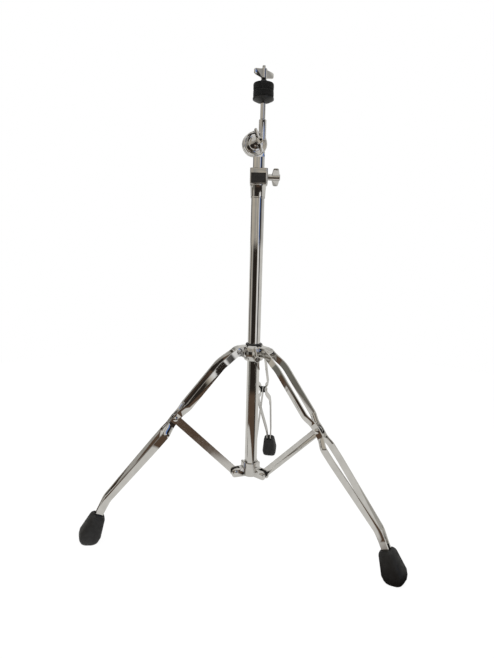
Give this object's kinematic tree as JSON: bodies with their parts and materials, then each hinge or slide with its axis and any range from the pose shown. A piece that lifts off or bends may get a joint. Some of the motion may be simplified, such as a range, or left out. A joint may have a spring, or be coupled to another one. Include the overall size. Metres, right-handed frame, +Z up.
{
  "type": "cymbal stand",
  "caption": "Folding straight cymbal stand: double-braced tripod, telescoping chrome tubes with a height clamp, and a tilting felt-padded cymbal rod.",
  "frame": {"origin": "middle of the footprint on the floor, the stand open", "axes": "+Z up along the tubes, +Y toward the rear leg, +X toward the right leg's side"},
  "size_m": [0.6096, 0.5308, 0.8931],
  "materials": {
    "chrome": "polished chrome plate",
    "black_plastic": "satin black plastic",
    "black_rubber": "matt black rubber",
    "black_felt": "pressed black felt"
  },
  "bodies": {
    "stand": {"base_tube": "chrome", "tube_end_plug": "black_plastic", "lower_bracket": "chrome", "bracket_pin_rear": "chrome", "bracket_pin_left": "chrome", "bracket_pin_right": "chrome", "tube_joint": "chrome", "joint_bushing": "black_plastic"},
    "collar": {"leg_collar": "chrome", "collar_bushing": "black_plastic"},
    "collar_screw": {"collar_wing_bolt": "chrome"},
    "clamp_screw": {"clamp_wing_bolt": "chrome"},
    "guide": {"guide_plug": "black_plastic"},
    "mast": {"upper_tube": "chrome", "tilter_lower_body": "chrome", "tilter_bolt": "chrome"},
    "rod_head": {"tilter_upper_body": "chrome", "friction_disc": "black_plastic", "cymbal_rod": "chrome", "rod_set_screw": "black_plastic", "cymbal_seat": "black_plastic", "lower_felt": "black_felt", "rod_sleeve": "black_plastic"},
    "tilter_nut": {"tilter_wing_nut": "chrome"},
    "cymbal_felt": {"upper_felt": "black_felt"},
    "top_nut": {"wing_nut": "chrome"},
    "strut_rear": {"strut_rear": "chrome", "bracket_grommet_rear": "black_rubber", "pinch_grommet_rear": "black_rubber"},
    "leg_rear": {"leg_strip_rear_a": "chrome", "leg_strip_rear_b": "chrome", "foot_rear": "black_rubber", "pinch_pin_rear": "chrome", "collar_pin_rear": "chrome"},
    "strut_left": {"strut_left": "chrome", "bracket_grommet_left": "black_rubber", "pinch_grommet_left": "black_rubber"},
    "leg_left": {"leg_strip_left_a": "chrome", "leg_strip_left_b": "chrome", "foot_left": "black_rubber", "pinch_pin_left": "chrome", "collar_pin_left": "chrome"},
    "strut_right": {"strut_right": "chrome", "bracket_grommet_right": "black_rubber", "pinch_grommet_right": "black_rubber"},
    "leg_right": {"leg_strip_right_a": "chrome", "leg_strip_right_b": "chrome", "foot_right": "black_rubber", "pinch_pin_right": "chrome", "collar_pin_right": "chrome"}
  },
  "joints": [
    {"name": "fold", "type": "hinge", "parent": "stand", "child": "strut_rear", "pos_m": [0, -0.0459, 0.10335], "axis": [1, 0, 0], "range_deg": [-8, 38]},
    {"name": "rear_pinch", "type": "hinge", "parent": "strut_rear", "child": "leg_rear", "pos_m": [0, 0.08048, 0.23151], "axis": [-1, 0, 0], "range_deg": [-16, 76]},
    {"name": "collar_on_rear_leg", "type": "hinge", "parent": "leg_rear", "child": "collar", "pos_m": [0, -0.0459, 0.35968], "axis": [1, 0, 0], "range_deg": [-8, 38]},
    {"name": "left_strut_pivot", "type": "hinge", "parent": "stand", "child": "strut_left", "pos_m": [-0.03031, -0.0984, 0.10335], "axis": [-0.5, 0.866, 0], "range_deg": [-8, 38]},
    {"name": "left_leg_pivot", "type": "hinge", "parent": "collar", "child": "leg_left", "pos_m": [-0.03031, -0.0984, 0.35968], "axis": [0.5, -0.866, 0], "range_deg": [-8, 38]},
    {"name": "right_strut_pivot", "type": "hinge", "parent": "stand", "child": "strut_right", "pos_m": [0.03031, -0.0984, 0.10335], "axis": [-0.5, -0.866, 0], "range_deg": [-8, 38]},
    {"name": "right_leg_pivot", "type": "hinge", "parent": "collar", "child": "leg_right", "pos_m": [0.03031, -0.0984, 0.35968], "axis": [0.5, 0.866, 0], "range_deg": [-8, 38]},
    {"name": "collar_screw_turn", "type": "hinge", "parent": "collar", "child": "collar_screw", "pos_m": [0.00977, -0.10927, 0.34968], "axis": [0.3256, -0.9455, 0], "range_deg": [-35, 12]},
    {"name": "clamp_screw_turn", "type": "hinge", "parent": "stand", "child": "clamp_screw", "pos_m": [0.02963, -0.07621, 0.697], "axis": [0.9877, 0.1564, 0], "continuous": true},
    {"name": "height", "type": "slide", "parent": "stand", "child": "guide", "axis": [0, 0, 1], "range_m": [-0.012, 0.4]},
    {"name": "swivel", "type": "hinge", "parent": "guide", "child": "mast", "pos_m": [0, -0.0809, 0.48275], "axis": [0, 0, 1], "continuous": true},
    {"name": "tilt", "type": "hinge", "parent": "mast", "child": "rod_head", "pos_m": [-0.00914, -0.08497, 0.75575], "axis": [0.4067, -0.9135, 0], "range_deg": [-85, 85]},
    {"name": "tilter_nut_turn", "type": "hinge", "parent": "mast", "child": "tilter_nut", "pos_m": [0.00307, -0.11238, 0.75575], "axis": [0.4067, -0.9135, 0], "continuous": true},
    {"name": "felt_lift", "type": "slide", "parent": "rod_head", "child": "cymbal_felt", "axis": [0, 0, 1], "range_m": [0, 0.0045]},
    {"name": "top_nut_turn", "type": "hinge", "parent": "rod_head", "child": "top_nut", "pos_m": [0.00614, -0.08731, 0.86865], "axis": [0, 0, 1], "continuous": true}
  ],
  "couplings": [
    {"joint": "rear_pinch", "follows": "fold", "ratio": 2},
    {"joint": "collar_on_rear_leg", "follows": "fold", "ratio": 1},
    {"joint": "left_strut_pivot", "follows": "fold", "ratio": 1},
    {"joint": "left_leg_pivot", "follows": "fold", "ratio": 1},
    {"joint": "right_strut_pivot", "follows": "fold", "ratio": 1},
    {"joint": "right_leg_pivot", "follows": "fold", "ratio": 1}
  ]
}
